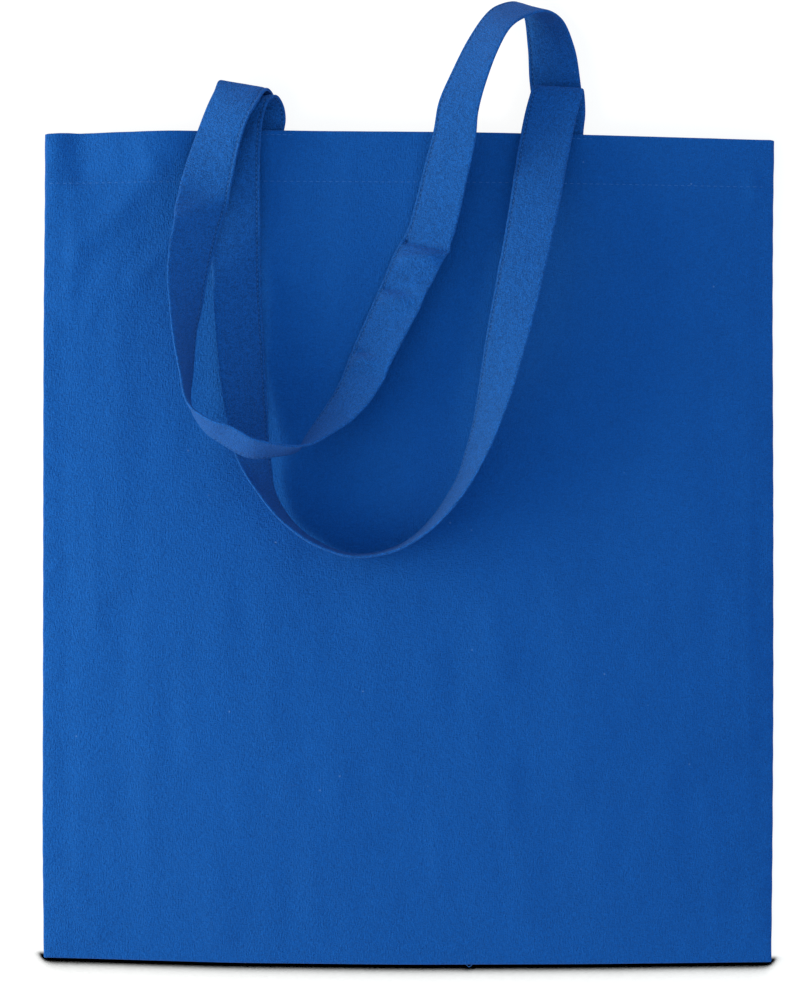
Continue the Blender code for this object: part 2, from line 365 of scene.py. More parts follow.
bag = {
    "width": 0.370,
    "height": 0.420,
    "cloth": 0.00045,
    "hemDepth": 0.026,
    "foldedLayers": 3,              # of cloth in the hem and the side seams
    "layerStep": 0.0004,            # over which their thickness begins
    "seamAllowance": 0.011,
    "fullness": 0.012,
    "mouthOpen": 0.0105,
    "edgeThick": 0.0024,
    "cornerThick": 0.0042,
    "bottomRise": 0.150,            # the swell of the front grows over this height
    "cornerRise": 0.040,
    "swellPower": 2.6,
    "fallPower": 2,
    "columns": 158,                 # of the even part of a panel
    "rowStep": 0.0023,
    "insideRowStep": 0.008,
    "seamNotch": 0.0005,            # the side seam lies this far inside the edge
    "insideWall": 0.0012,
    "backUneven": (0.0002, 0.02, 0.06, 21),     # of the back: height, length across, length along and seed
    "backFlat": 0.02,               # it fades out over this width beside the side edges
    "puckerPitch": 0.017,           # of the side seams
    "puckerDrift": (0.030, 2.2),    # length and size of its changes
    "puckerDepth": 0.00013,
    "puckerRise": 0.0006,
    "puckerReach": 0.014,
    "puckerEdge": 0.004,            # the part of it beside the seam that stays low
    "hemStitchIn": 0.0008,          # of the hem's line of stitches, from the hem's lower edge
    "hemGroove": 0.00018,
    "hemGrooveWide": 1.1 * mm,
    # the cloth's own unevenness: height, length across, length along and the seed of its noise
    "uneven": ((0.00034, 0.012, 0.030, 11), (0.00013, 0.0060, 0.013, 12), (0.00060, 0.035, 0.060, 13)),
    "flatBeside": (0.006, 0.012),   # no fold reaches the side edges and the bottom edge
    "flatSize": (0.392, 0.908),     # with the seam allowances and the turned-in hems
    # the outline seen from above, in mm: at these heights the side edges lie this far inside or outside the plain ones
    "leftEdge": ((-210, -0.3), (-150, -1.0), (-80, -0.8), (-26, -0.7), (60, -0.6), (120, -0.4), (180, 0.3), (210, 0.3)),
    "rightEdge": ((-210, -0.2), (-150, 0.5), (-77, 0.9), (24, 0.9), (120, 0.5), (180, 0.8), (210, 1.4)),
    "bottomEdge": ((-185, 1.6), (-90, -1.2), (0, -2.2), (90, -1.9), (185, -0.8)),
    "edgePower": 6,                 # how near the side edges that shift begins
    "bottomReach": (0.15, 2),       # how far up it reaches from the bottom, and how it fades
    "mouthReach": (0.08, 1.5),
    "backLow": 0.0003,              # how far the back's mouth stays behind the front's
    "mouthEdge": ((-185, 0.0), (-130, 0.9), (-60, 1.3), (35, 0.5), (87, -0.7), (185, -3.4)),
}
halfWidth = bag["width"] / 2
mouth = bag["height"] / 2
folded = bag["cloth"] * bag["foldedLayers"]

# soft folds of the front panel, in mm: from x, y to x, y, how wide and how high; a hollow is below 0
softFolds = (
    (-125, 224, -126, 204, 20, 6.8), (-166, 218, -166, 192, 8, -2.8), (-182, 210, -181, 176, 5, 0.8),
    (-134, 205, -131, 192, 3.5, 0.6), (-150, 210, -148, 196, 5, 0.5),
    (-128, 192, -166, 150, 6.5, 1.5), (-114, 161, -138, 137, 4.5, 0.9), (-110, 150, -170, 122, 9, 0.7),
    (-168, 160, -172, 130, 5, 0.7), (-152, 142, -163, 112, 5, 0.6),
    (-147, 120, -146, -20, 7, 0.6), (-172, 110, -173, -160, 5, -0.6), (-160, 30, -158, -40, 4, 0.5),
    (-112, -66, -109, -102, 7, 0.35), (-121, -66, -119, -102, 5, -0.3), (-135, -40, -133, -150, 9, 0.4),
    (-24, -4, -22, -36, 6, 0.6), (44, -33, 45, -62, 10, 1.1), (22, -52, 23, -82, 7, -0.3),
    (18, -10, 24, -34, 7, -0.25), (-92, 140, -92, 80, 10, 2.6),
    (51, -115, 52, -142, 6, 0.7), (14, -140, 15, -166, 5, 0.6), (-70, -70, -68, -150, 10, 0.4),
    (-92, -20, -95, -70, 8, 0.3), (80, -20, 84, -120, 10, 0.6), (110, 60, 108, -60, 12, -0.7),
    (150, 20, 170, -60, 9, 0.6), (120, -120, 170, -95, 8, 0.7),
    (172.5, 190, 172.5, -40, 2.4, 0.55), (172.5, -40, 173.5, -200, 2.2, 0.3), (-171, 190, -171, 0, 2.4, 0.35),
    (174, 190, 176, 180, 3.5, 1.3), (164, 150, 168, 112, 8, 1.1), (140, 170, 150, 96, 9, 0.5),
    (152, 92, 154, 60, 6, -0.6), (-30, 208, -33, 120, 7, 0.45), (-56, 135, -58, 105, 6, 0.9),
    (-76, 212, -76, 150, 18, 3.0), (52, 150, 40, 62, 13, 3.0), (5, 200, 0, 140, 8, 0.6),
    (-170, -170, -160, -196, 8, 0.6), (-100, -160, -96, -196, 10, 0.5), (60, -160, 66, -200, 10, 0.5),
)


def fullnessOver(share):
    return 1 - np.minimum(1, np.abs(share)) ** bag["swellPower"]


def seamThick(y):
    share = np.clip(1 - (mouth - bag["hemDepth"] - y) / bag["cornerRise"], 0, 1)
    return bag["edgeThick"] + (bag["cornerThick"] - bag["edgeThick"]) * share


def panelTop(x, y):                 # the same surface as the CAD body's front panel
    fromBottom = np.minimum(y, mouth) + mouth
    low = np.clip(1 - fromBottom / bag["bottomRise"], 0, 1)
    share = np.clip((fromBottom - bag["bottomRise"]) / (bag["height"] - bag["bottomRise"]), 0, 1)
    middle = bag["edgeThick"] + (bag["fullness"] - bag["edgeThick"]) * fullnessOver(low)
    middle = middle + (bag["mouthOpen"] - bag["fullness"]) * share ** bag["fallPower"]
    edge = seamThick(np.minimum(y, mouth))
    return edge + np.maximum(0, middle - edge) * fullnessOver(x / halfWidth)


latticeSize = 128                   # cells of the unevenness each way, so that it repeats nowhere on the bag
easeSpots, easeWindow = 200, 33     # samples of an eased line, and how many of them are averaged


def cloudy(x, y, stepX, stepY, seed):          # smooth unevenness from -1 to 1
    lattice = np.random.default_rng(seed).uniform(-1, 1, (latticeSize, latticeSize))
    atX, atY = x / stepX + latticeSize / 2, y / stepY + latticeSize / 2
    i, j = np.floor(atX).astype(int), np.floor(atY).astype(int)
    u, v = atX - i, atY - j
    u, v = u * u * (3 - 2 * u), v * v * (3 - 2 * v)
    low = lattice[i, j] * (1 - u) + lattice[i + 1, j] * u
    high = lattice[i, j + 1] * (1 - u) + lattice[i + 1, j + 1] * u
    return low * (1 - v) + high * v


def eased(points, value):           # a smooth line through given points, in mm
    at, height = np.array(points, float).T
    spots = np.linspace(at[0], at[-1], easeSpots)
    line = np.interp(spots, at, height)
    kernel = np.hanning(easeWindow) / np.hanning(easeWindow).sum()
    line = np.convolve(np.pad(line, easeWindow // 2, mode="edge"), kernel, mode="valid")
    return np.interp(value / mm, spots, line) * mm


def pucker(y, side):                # along a side seam, from -1 to 1
    length, size = bag["puckerDrift"]
    drift = cloudy(y, y * 0 + side, length, 1.0, 5) * size
    return np.cos(2 * math.pi * y / bag["puckerPitch"] + drift + side)


def foldsAt(x, y, folds):           # the height of listed folds
    total = 0
    for fromX, fromY, toX, toY, wide, high in folds:
        start = np.array([fromX, fromY]) * mm
        run = np.array([toX, toY]) * mm - start
        length = math.hypot(*run)
        along = ((x - start[0]) * run[0] + (y - start[1]) * run[1]) / length
        aside = ((x - start[0]) * run[1] - (y - start[1]) * run[0]) / length
        beyond = np.maximum(0, np.maximum(-along, along - length)) / (wide * mm)
        total = total + high * mm * np.exp(-(aside / (wide * mm)) ** 2 - beyond ** 2)
    return total


def relief(x, y):                   # what the front panel's folds add to its plain surface
    total = 0
    for high, stepX, stepY, seed in bag["uneven"]:
        total = total + high * cloudy(x, y, stepX, stepY, seed)
    total = total + foldsAt(x, y, softFolds)
    for side in (-1, 1):
        inside = np.maximum(0, halfWidth - side * x)
        ripple = pucker(y, side) * np.exp(-inside / bag["puckerReach"])
        total = total + bag["puckerRise"] * ripple * np.minimum(1, inside / bag["puckerEdge"])
    hemLine = mouth - bag["hemDepth"] + bag["hemStitchIn"]
    total = total - bag["hemGroove"] * np.exp(-((y - hemLine) / bag["hemGrooveWide"]) ** 2)
    besideSeam, besideBottom = bag["flatBeside"]
    return total * (np.clip((halfWidth - np.abs(x)) / besideSeam, 0, 1) * np.clip((y + mouth) / besideBottom, 0, 1))


def settled(x, y, onFront):         # the plain bag's outline moved to the one seen from above
    share = np.abs(x) / halfWidth
    left = eased(bag["leftEdge"], y) + bag["puckerDepth"] * 0.5 * (1 - pucker(y, -1))
    right = eased(bag["rightEdge"], y) - bag["puckerDepth"] * 0.5 * (1 - pucker(y, 1))
    shiftX = np.where(x < 0, left, right) * share ** bag["edgePower"]
    reach, power = bag["bottomReach"]
    low = np.clip(1 - (y + mouth) / reach, 0, 1) ** power
    shiftY = eased(bag["bottomEdge"], x) * low
    reach, power = bag["mouthReach"]
    high = np.clip(1 - (mouth - y) / reach, 0, 1) ** power
    shiftY = shiftY + (eased(bag["mouthEdge"], x) - (0 if onFront else bag["backLow"])) * high
    return x + shiftX, y + shiftY


def frontPoint(x, y, lift=0.0):     # a point on the front panel's outer face
    top = panelTop(x, y) + relief(x, y) + lift
    newX, newY = settled(x, y, True)
    return np.stack([newX, newY, top], axis=-1)


# the bag's cloth: one sleeve with its bottom closed, inside and outside, joined by the rounded rim of the mouth

def spread(start, end, step):
    count = max(1, math.ceil(abs(end - start) / step))
    return [start + (end - start) * k / count for k in range(1, count)]


def roundShare(insideX, insideY):   # share of the full height, at a distance inside the outline given in radii
    gapX = 1 - np.minimum(1, insideX)
    gapY = 1 - np.minimum(1, insideY)
    return np.sqrt(np.maximum(0, 1 - gapX ** 2 - gapY ** 2))


roundSteps = np.array([0.0, 0.06, 0.2, 0.42, 0.7, 1.0])    # rows of a rounded edge, in radii
grooveSteps = (-3.2, -1.9, -1.0, -0.4, 0.3, 0.9, 1.8, 3.2)  # rows on both sides of the hem's stitches, in mm
lipSteps = (-2.4, -1.2, -0.5, 0.0)  # below the rim of the mouth, outside
floorSteps = (0.5, 1.5)             # above the bottom fold, inside
hemSteps = (-0.4, -0.15, 0.15, 0.4) # on both sides of the hem's lower edge, inside
rimSteps = 6                        # of the rounded rim of the mouth


def sleeveRow(y, insideY, wall, seamNotch):
    edge = float(seamThick(y)) / 2
    half = halfWidth - wall
    near = roundSteps * edge
    even = np.linspace(near[-1], 2 * half - near[-1], bag["columns"] + 1)[1:-1]
    inside = np.concatenate([near, even, 2 * half - near[::-1]])
    x = inside - half
    distance = np.minimum(inside, 2 * half - inside)
    share = roundShare(distance / edge, insideY)
    x[0] += seamNotch
    x[-1] -= seamNotch
    return x, share, edge


def layersAt(x, y, onBack):
    deep = mouth - bag["hemDepth"]
    inHem = np.clip((y - deep) / bag["layerStep"] + 0.5, 0, 1)
    inSeam = np.clip((np.abs(x) - halfWidth + bag["seamAllowance"]) / bag["layerStep"] + 0.5, 0, 1) if onBack else 0
    return bag["cloth"] * (1 + (bag["foldedLayers"] - 1) * np.maximum(inHem, inSeam))


def panelRow(y, insideY, inner, onBack):
    wall = bag["insideWall"] if inner else 0.0
    x, share, middle = sleeveRow(y, insideY, wall, 0 if inner else bag["seamNotch"])
    plainY = np.full_like(x, y)
    if onBack:
        high, stepX, stepY, seed = bag["backUneven"]
        outer = high * (1 + cloudy(x, plainY, stepX, stepY, seed))
        outer = outer * np.clip((halfWidth - np.abs(x)) / bag["backFlat"], 0, 1)
    else:
        outer = panelTop(x, plainY) + relief(x, plainY)
    if inner:
        thick = layersAt(x, plainY, onBack)
        outer = np.minimum(middle, outer + thick) if onBack else np.maximum(middle, outer - thick)
    z = middle + (outer - middle) * share
    newX, newY = settled(x, plainY, not onBack)
    blend = np.where(share > 0, 1.0, 0.5)       # shared vertices lie halfway between the two panels' places
    otherY = settled(x, plainY, onBack)[1]
    newY = newY * blend + otherY * (1 - blend)
    return np.stack([newX, newY, z], axis=-1), np.stack([x, plainY], axis=-1)


def buildSleeve():
    rim = folded / 2
    hem = mouth - bag["hemDepth"]
    line = hem + bag["hemStitchIn"]
    low = -mouth
    radius = bag["edgeThick"] / 2
    top = mouth - rim
    outerRows = [low + s * radius for s in roundSteps[1:]]
    outerRows += spread(low + radius, line + grooveSteps[0] * mm, bag["rowStep"])
    outerRows += [line + step * mm for step in grooveSteps]
    outerRows += spread(line + grooveSteps[-1] * mm, top + lipSteps[0] * mm, bag["rowStep"])
    outerRows += [top + step * mm for step in lipSteps]
    innerLow = low + bag["insideWall"]
    innerRows = [innerLow + step * mm for step in floorSteps]
    innerRows += spread(innerRows[-1], hem + hemSteps[0] * mm, bag["insideRowStep"])
    innerRows += [hem + step * mm for step in hemSteps]
    innerRows += spread(innerRows[-1], top, bag["insideRowStep"] / 2) + [top]

    def ring(y, insideY, inner):
        front, cutFront = panelRow(y, insideY, inner, False)
        back, cutBack = panelRow(y, insideY, inner, True)
        return np.concatenate([front, back[-2:0:-1]]), np.concatenate([cutFront, cutBack[-2:0:-1]])

    inner = [ring(y, (y - innerLow) / radius, True) for y in innerRows]
    outer = [ring(y, (y - low) / radius, False) for y in outerRows]
    count = len(outer[0][0])
    panel = count // 2 + 1
    (insideLip, cutIn), (outsideLip, cutOut) = inner[-1], outer[-1]
    centre, arm = (insideLip + outsideLip) / 2, (insideLip - outsideLip) / 2
    reach = np.linalg.norm(arm, axis=1, keepdims=True)
    rimRings = []
    for k in range(1, rimSteps):
        turn = math.pi * k / rimSteps
        place = centre + arm * math.cos(turn) + reach * math.sin(turn) * np.array([0, 1, 0])
        rimRings.append((place, cutOut + np.array([0, rim * math.sin(turn)])))
    rings = inner + rimRings + outer[::-1]

    def bottomLine(inner):
        y = innerLow if inner else low
        x, share, middle = sleeveRow(y, 0, bag["insideWall"] if inner else 0.0, 0 if inner else bag["seamNotch"])
        plainY = np.full_like(x, y)
        newX, newY = settled(x, plainY, False)
        return np.stack([newX, newY, np.full_like(x, middle)], axis=-1), np.stack([x, plainY], axis=-1)

    firstLine, lastLine = bottomLine(True), bottomLine(False)
    places = np.concatenate([firstLine[0]] + [r[0] for r in rings] + [lastLine[0]])
    cuts = np.concatenate([firstLine[1]] + [r[1] for r in rings] + [lastLine[1]])
    faces, onBack = [], []

    def backOf(i):
        return (count - i) % count

    start = panel
    for i in range(panel - 1):
        faces += [(i, i + 1, start + i + 1, start + i), (i + 1, i, start + backOf(i), start + backOf(i + 1))]
        onBack += [False, True]
    for r in range(len(rings) - 1):
        a, b = start + r * count, start + (r + 1) * count
        for j in range(count):
            k = (j + 1) % count
            faces.append((a + j, a + k, b + k, b + j))
            onBack.append(j >= panel - 1)
    a, b = start + (len(rings) - 1) * count, start + len(rings) * count
    for i in range(panel - 1):
        faces += [(a + i, a + i + 1, b + i + 1, b + i), (a + backOf(i + 1), a + backOf(i), b + i, b + i + 1)]
        onBack += [False, True]
    return places, cuts, faces, np.array(onBack)


def signedVolume(places, faces):
    quads = np.array([f for f in faces if len(f) == 4])
    a, b, c, d = (places[quads[:, k]] for k in range(4))
    return (np.einsum("ij,ij->i", a, np.cross(b, c)) + np.einsum("ij,ij->i", a, np.cross(c, d))).sum() / 6


def outward(places, faces):
    return [tuple(reversed(f)) for f in faces] if signedVolume(places, faces) < 0 else faces


def addMesh(name, places, faces, material):
    mesh = bpy.data.meshes.new(name)
    mesh.from_pydata(places.tolist(), [], faces)
    mesh.polygons.foreach_set("use_smooth", np.ones(len(faces), dtype=bool))
    mesh.materials.append(material)
    obj = bpy.data.objects.new(name, mesh)
    scene.collection.objects.link(obj)
    return obj


def clothMesh(name, places, cuts, faces, onBack, material):    # with its place on the cut cloth as a UV map
    obj = addMesh(name, places, outward(places, faces), material)
    layer = obj.data.uv_layers.new(name="cut")
    corner = np.empty(len(obj.data.loops), dtype=np.int32)
    obj.data.loops.foreach_get("vertex_index", corner)
    flat = cuts[corner].copy()
    sizes = np.array([len(f) for f in faces])
    flat[:, 0] += np.repeat(onBack, sizes) * weave["backShift"]
    layer.data.foreach_set("uv", flat.astype(np.float32).ravel())
    return obj


bagCloth = clothMesh("bagCloth", *buildSleeve(), bagCotton)
print("bag cloth made:", len(bagCloth.data.polygons), "faces")

# handles

tape = {
    "width": 0.026,
    "thick": 0.0015,
    "spacing": 0.152,               # between the middles of a handle's two ends
    "sewnLength": 0.028,
    "clearance": 0.0005,
    "step": 0.0008,                 # of the mesh, along the tape
    "leastSteps": 8,
    "sewnSteps": 2,
    "stitchIn": 0.0019,             # line of stitches, from the stitched edge
    "stitchHigh": 0.00044,          # half the tape's thickness there
    "puff": (0.10, 0.012, 0.006),   # uneven thickness: share, length along and length across
    "stray": (0.00025, 0.015, 0.012),   # how far it bends from its plain face, and the same lengths
    "strayFrom": (0.028, 0.068),    # the sewn ends lie flat, and it bends fully this far from an end
    "frontLength": 0.646,
    "backLength": 0.660,
}

# a tape's section, in mm: from the stitched edge at -13 to the plain fold at 13, and half its thickness there
tapeTop = (
    (-12.98, 0.34), (-12.86, 0.56), (-12.6, 0.70), (-12.2, 0.74), (-11.7, 0.68), (-11.35, 0.52), (-11.1, 0.44),
    (-10.85, 0.52), (-10.4, 0.68), (-9.6, 0.78), (-7.5, 0.82), (-4.5, 0.80), (0, 0.80), (4.5, 0.80), (8, 0.80),
    (10.5, 0.80), (11.7, 0.77), (12.3, 0.66), (12.72, 0.46), (12.93, 0.24),
)
tapeLip = (-12.9, 0.14)             # of each of the two turned edges, with a groove between them
tapeGroove = -12.45
tapePlainEdge = 13.0

# stations of a handle, as in the CAD but with some lifts of its own: across, along, lift, heading and lean,
# in mm and degrees
frontRoute = (
    ("left", "sewn", ((1, 7, 0, 180, 0), (0, 14.5, 0, 178, 0))),
    ("left", "panel", (
        (-6, 18, 1.5, 176, -8), (-9.5, 10, 3, 178, -10), (-11.5, -9, 6.5, 181, -4), (-11.5, -42, 8, 181, 9),
        (-10.5, -76, 4.5, 181, 23), (-8.5, -110, 1.8, 181, 28), (-6, -136, 2.5, 184, 36), (-2.5, -161, 4, 198, 49),
        (6.5, -185, 3, 216, 76), (16.5, -198, 2, 235, 84))),
    ("middle", "panel", (
        (-44, -209, 1.5, 250, 87), (-27, -214, 1.5, 268, 89), (-7, -211, 1.5, 290, 87), (11, -199, 1.5, 308, 83))),
    ("right", "panel", (
        (-49.5, -179, 3, 324, 76), (-42.5, -164, 5, 337, 68), (-36.5, -147, 8, 344, 60), (-30.5, -123, 12, 348, 47),
        (-24.5, -96, 15, 348, 35), (-18, -66, 15, 348, 28), (-12.5, -38, 12, 349, 19), (-8, -12, 7, 348, 10),
        (-4, 8, 3, 350, 4), (-0.5, 21, 1.3, 354, 0))),
    ("right", "sewn", ((0.5, 21, 0, 358, 0), (1, 10, 0, 360, 0))),
)
frontFolds = (2.9, 2.0)             # how far each fold over the mouth reaches beyond the stations beside it
backRoute = (
    ("left", "sewn", ((-1, 8, 0, 180, 0), (-3, 16, 0.5, 176, 0))),
    ("left", "panel", (
        (-11.5, 17, 2.5, 160, -28), (-15.5, 9, 3.5, 158, -31), (-20.5, -6, 5, 162, -26), (-24.5, -21, 9, 166, -14),
        (-27.5, -35, 14, 168, 6), (-30.5, -48, 17, 169, 24), (-33, -62, 19.5, 171, 34), (-35, -74, 19, 172, 42),
        (-35.5, -89, 16, 174, 54), (-36.5, -101, 14, 176, 65), (-35.5, -119, 15, 186, 76), (-33.5, -138, 19, 204, 90),
        (-23.5, -149, 25, 228, 105), (-15.5, -153, 27.5, 234, 112), (-2.5, -160, 26.5, 254, 112),
        (8.5, -161, 22, 266, 104))),
    ("middle", "panel", (
        (-56, -160, 15, 282, 94), (-50, -156, 11, 304, 78), (-43, -150, 7.5, 314, 67), (-34, -141, 5, 323, 54),
        (-26, -130, 4, 329, 44))),
    ("right", "panel", (
        (-95.5, -116, 2.5, 333, 37), (-79.5, -82, 2.0, 335, 30), (-72.5, -66, 2.3, 336, 27),
        (-65.2, -52.5, 2.4, 339.5, 27), (-61.5, -40, 2.6, 342, 27), (-57.5, -23, 5, 344, 30), (-52.5, -2, 9, 346, 34))),
    ("right", "floor", (
        (-50.5, 12, 20, 342, 38), (-45.5, 26, 21, 338, 46), (-38.5, 42, 21, 336, 52), (-31.5, 54, 19, 334, 54),
        (-24.5, 60, 15, 334, 52), (-13.5, 63, 8, 338, 52), (-7.5, 58, 3.5, 350, 43), (-3.5, 44, 2, 360, 28),
        (-1.5, 28, 1.5, 360, 10), (0, 14, 1.5, 360, 2))),
)
backFolds = (7.65,)


def sewnLevel(front):
    if front:
        lowest = float(panelTop(tape["spacing"] / 2 + tape["width"] / 2, mouth))
        return lowest - folded - tape["clearance"] - tape["thick"] / 2
    return folded + tape["clearance"] + tape["thick"] / 2


def sewnEnd(side, level):
    x = side * tape["spacing"] / 2
    depths = [tape["sewnLength"] * (1 - i / tape["sewnSteps"]) for i in range(tape["sewnSteps"] + 1)]
    return [(Vector((x, mouth - depth, level)), Vector((side, 0, 0))) for depth in depths]


def laidRun(origin, ground, rows, level):      # stations as places and width directions, in metres
    start = {"left": -tape["spacing"] / 2, "middle": 0, "right": tape["spacing"] / 2}[origin]
    run = []
    for across, along, lift, heading, lean in rows:
        x = start + across * mm
        y = mouth + along * mm
        z = lift * mm
        heading, lean = math.radians(heading), math.radians(lean)
        flat = math.cos(lean)
        width = Vector((math.cos(heading) * flat, math.sin(heading) * flat, math.sin(lean)))
        z += level if ground == "sewn" else tape["width"] / 2 * abs(math.sin(lean))
        if ground == "panel":
            z += float(panelTop(x, y))
        run.append((Vector((x, y, z)), width))
    return run


def laidRoute(route, folds, level):            # with a turn between the sewn parts and the free ones
    stations = sewnEnd(-1, level)
    reaches = iter(folds)
    groundBefore = None
    for origin, ground, rows in route:
        run = laidRun(origin, ground, rows, level)
        if groundBefore and "sewn" in (groundBefore, ground):
            (rising, widthUp), (falling, widthDown) = stations[-1], run[0]
            turn = (rising + falling) / 2
            turn.y += next(reaches) * mm
            stations.append((turn, (widthUp + widthDown).normalized()))
        stations += run
        groundBefore = ground
    return stations + sewnEnd(1, level)[::-1]


def splineValue(values, knots, t):  # on a smooth curve through four values, between the middle two
    def between(a, b, low, high):
        return a.lerp(b, (t - knots[low]) / (knots[high] - knots[low]))

    a = [between(values[i], values[i + 1], i, i + 1) for i in range(3)]
    b = [between(a[0], a[1], 0, 2), between(a[1], a[2], 1, 3)]
    return between(b[0], b[1], 1, 2)


def smoothed(stations):
    before = (stations[0][0] * 2 - stations[1][0], stations[0][1])
    after = (stations[-1][0] * 2 - stations[-2][0], stations[-1][1])
    padded = [before] + stations + [after]
    places, widths = [], []
    for i in range(1, len(padded) - 2):
        four = padded[i - 1:i + 3]
        knots = [0.0]
        for a, b in zip(four, four[1:]):
            knots.append(knots[-1] + math.sqrt((b[0] - a[0]).length))
        steps = max(tape["leastSteps"], math.ceil((four[2][0] - four[1][0]).length / tape["step"]))
        for k in range(steps):
            t = knots[1] + (knots[2] - knots[1]) * k / steps
            places.append(splineValue([s[0] for s in four], knots, t))
            widths.append(splineValue([s[1] for s in four], knots, t).normalized())
    places.append(stations[-1][0])
    widths.append(stations[-1][1])
    return np.array(places), np.array(widths)


def unit(rows):                     # directions of length 1
    return rows / np.linalg.norm(rows, axis=-1, keepdims=True)


def tapeLine(route, folds, front):  # places, width directions, face directions and lengths along a handle
    places, widths = smoothed(laidRoute(route, folds, sewnLevel(front)))
    ahead = unit(np.gradient(places, axis=0))
    faces = unit(np.cross(ahead, widths))
    lengths = np.concatenate([[0], np.cumsum(np.linalg.norm(np.diff(places, axis=0), axis=1))])
    return {"place": places, "width": widths, "face": faces, "length": lengths}


def tapeBend(length, across, creases, seed):    # how far a tape strays from its plain face
    fromEnd = np.minimum(length, length.max() - length)
    flatTo, freeFrom = tape["strayFrom"]
    free = np.clip((fromEnd - flatTo) / (freeFrom - flatTo), 0, 1)
    most, stepAlong, stepAcross = tape["stray"]
    return -most * free * cloudy(length, across, stepAlong, stepAcross, seed + 1) - foldsAt(length, across, creases)


def tapeMesh(name, line, creases, seed):
    top = (tapeLip, *tapeTop)
    section = [(tapeGroove, 0.0), *top, (tapePlainEdge, 0.0), *((u, -v) for u, v in reversed(top))]
    section = np.array(section) * mm
    rows, around = len(line["place"]), len(section)
    across = np.broadcast_to(section[:, 0], (rows, around))
    length = np.broadcast_to(line["length"][:, None], (rows, around))
    share, stepAlong, stepAcross = tape["puff"]
    high = section[None, :, 1] * (1 + share * cloudy(length, across, stepAlong, stepAcross, seed))
    bend = tapeBend(length, across, creases, seed)
    places = (line["place"][:, None] + line["width"][:, None] * across[..., None]
              + line["face"][:, None] * (high + bend)[..., None])
    cuts = np.stack([across, length], axis=-1)
    index = np.arange(rows * around).reshape(rows, around)
    turned = np.roll(index, -1, axis=1)
    quads = np.stack([index[:-1], turned[:-1], turned[1:], index[1:]], axis=-1).reshape(-1, 4)
    faces = [tuple(q) for q in quads.tolist()]
    ends = [tuple(index[0, ::-1].tolist()), tuple(index[-1].tolist())]
    onBack = np.array([k % around >= around // 2 for k in range(len(faces))] + [False, False])
    return clothMesh(name, places.reshape(-1, 3), cuts.reshape(-1, 2), faces + ends, onBack, tapeCotton)


# creases of a handle, in mm: from along, across to along, across, how wide and how high, where across is -13
# at the stitched edge
frontCreases = (
    (50, -6, 58, 2, 2.5, -0.8), (56, -13, 62, 0, 2.0, 0.7), (64, -8, 74, -2, 3.0, -0.7), (60, 4, 70, 10, 3.0, 0.6),
    (541, -13, 544, -2, 2.0, 0.5), (495, -13, 499, 0, 2.2, 0.6), (470, 4, 474, 13, 3.0, 0.5),
)
backCreases = (
    (421, -10, 424, 13, 1.8, -2.4), (412, -5, 417, 8, 3.4, 3.7), (409, 12, 418, 13, 6, -2.0),
    (395, -9, 398, 3, 1.8, -1.9), (389, -6, 392, 3, 2.8, 2.3), (385, 8, 392, 13, 5, -1.3),
    (360, -9, 362, -2, 1.8, -2.0), (354, -7, 357, 1, 2.8, 2.6), (351, -4, 353, 13, 4, -1.1),
    (426, -1, 478, -5, 2.2, 0.7), (71, -3, 90, -9, 1.4, 0.50), (74, -6, 92, -11, 1.2, -0.40),
    (116, -13, 140, 13, 5, 1.6),
)
frontLine = tapeLine(frontRoute, frontFolds, True)
backLine = tapeLine(backRoute, backFolds, False)
frontSeed, backSeed = 31, 41
frontTape = tapeMesh("frontTape", frontLine, frontCreases, frontSeed)
backTape = tapeMesh("backTape", backLine, backCreases, backSeed)
print("handles made:", len(frontTape.data.polygons), "and", len(backTape.data.polygons), "faces")

# stitches

stitch = {
    "tapeThick": 0.00042,
    "hemThick": 0.00032,
    "hemPitch": 0.0033,
    "hemLength": 0.0023,
    "tackPitch": 0.0030,
    "tackIn": 0.0021,               # from the mouth's edge
    "tapePitch": 0.00245,
    "tapeLength": 0.0015,
    "tapeFromEnd": 0.002,
    "hemFrom": (0.004, 0.003),      # the bag's left and right edges
    "hemInsideFewer": 3,            # stitches at each end that the side seam hides inside
    "tackReach": (-0.0165, 0.0175), # a tack is a little wider than the tape
    "sides": 6,
    "sink": 0.35,                   # share of a stitch's thickness that lies in the cloth
}


# one stitch, 1 long and 1 thick: place along it, half its thickness there, and how far it dips into the cloth
stitchProfile = ((-0.47, 0.26, 0.55), (-0.28, 0.50, 0.10), (0.0, 0.58, 0.0), (0.28, 0.50, 0.10), (0.47, 0.26, 0.55))
stitchTip = (0.5, 0.72)             # its place along, and how far it dips


def oneStitch():
    sides = stitch["sides"]
    turns = [2 * math.pi * k / sides for k in range(sides)]
    tip, deep = stitchTip
    places = [(-tip, 0, -deep)]
    places += [(x, r * math.cos(t), r * math.sin(t) - dip) for x, r, dip in stitchProfile for t in turns]
    places += [(tip, 0, -deep)]
    last = len(places) - 1
    faces = []
    for k in range(sides):
        n = (k + 1) % sides
        faces.append((0, 1 + n, 1 + k))
        faces.append((last, last - sides + k, last - sides + n))
        for ring in range(len(stitchProfile) - 1):
            a = 1 + ring * sides
            faces.append((a + k, a + n, a + n + sides, a + k + sides))
    return np.array(places), faces


stitchShape = oneStitch()


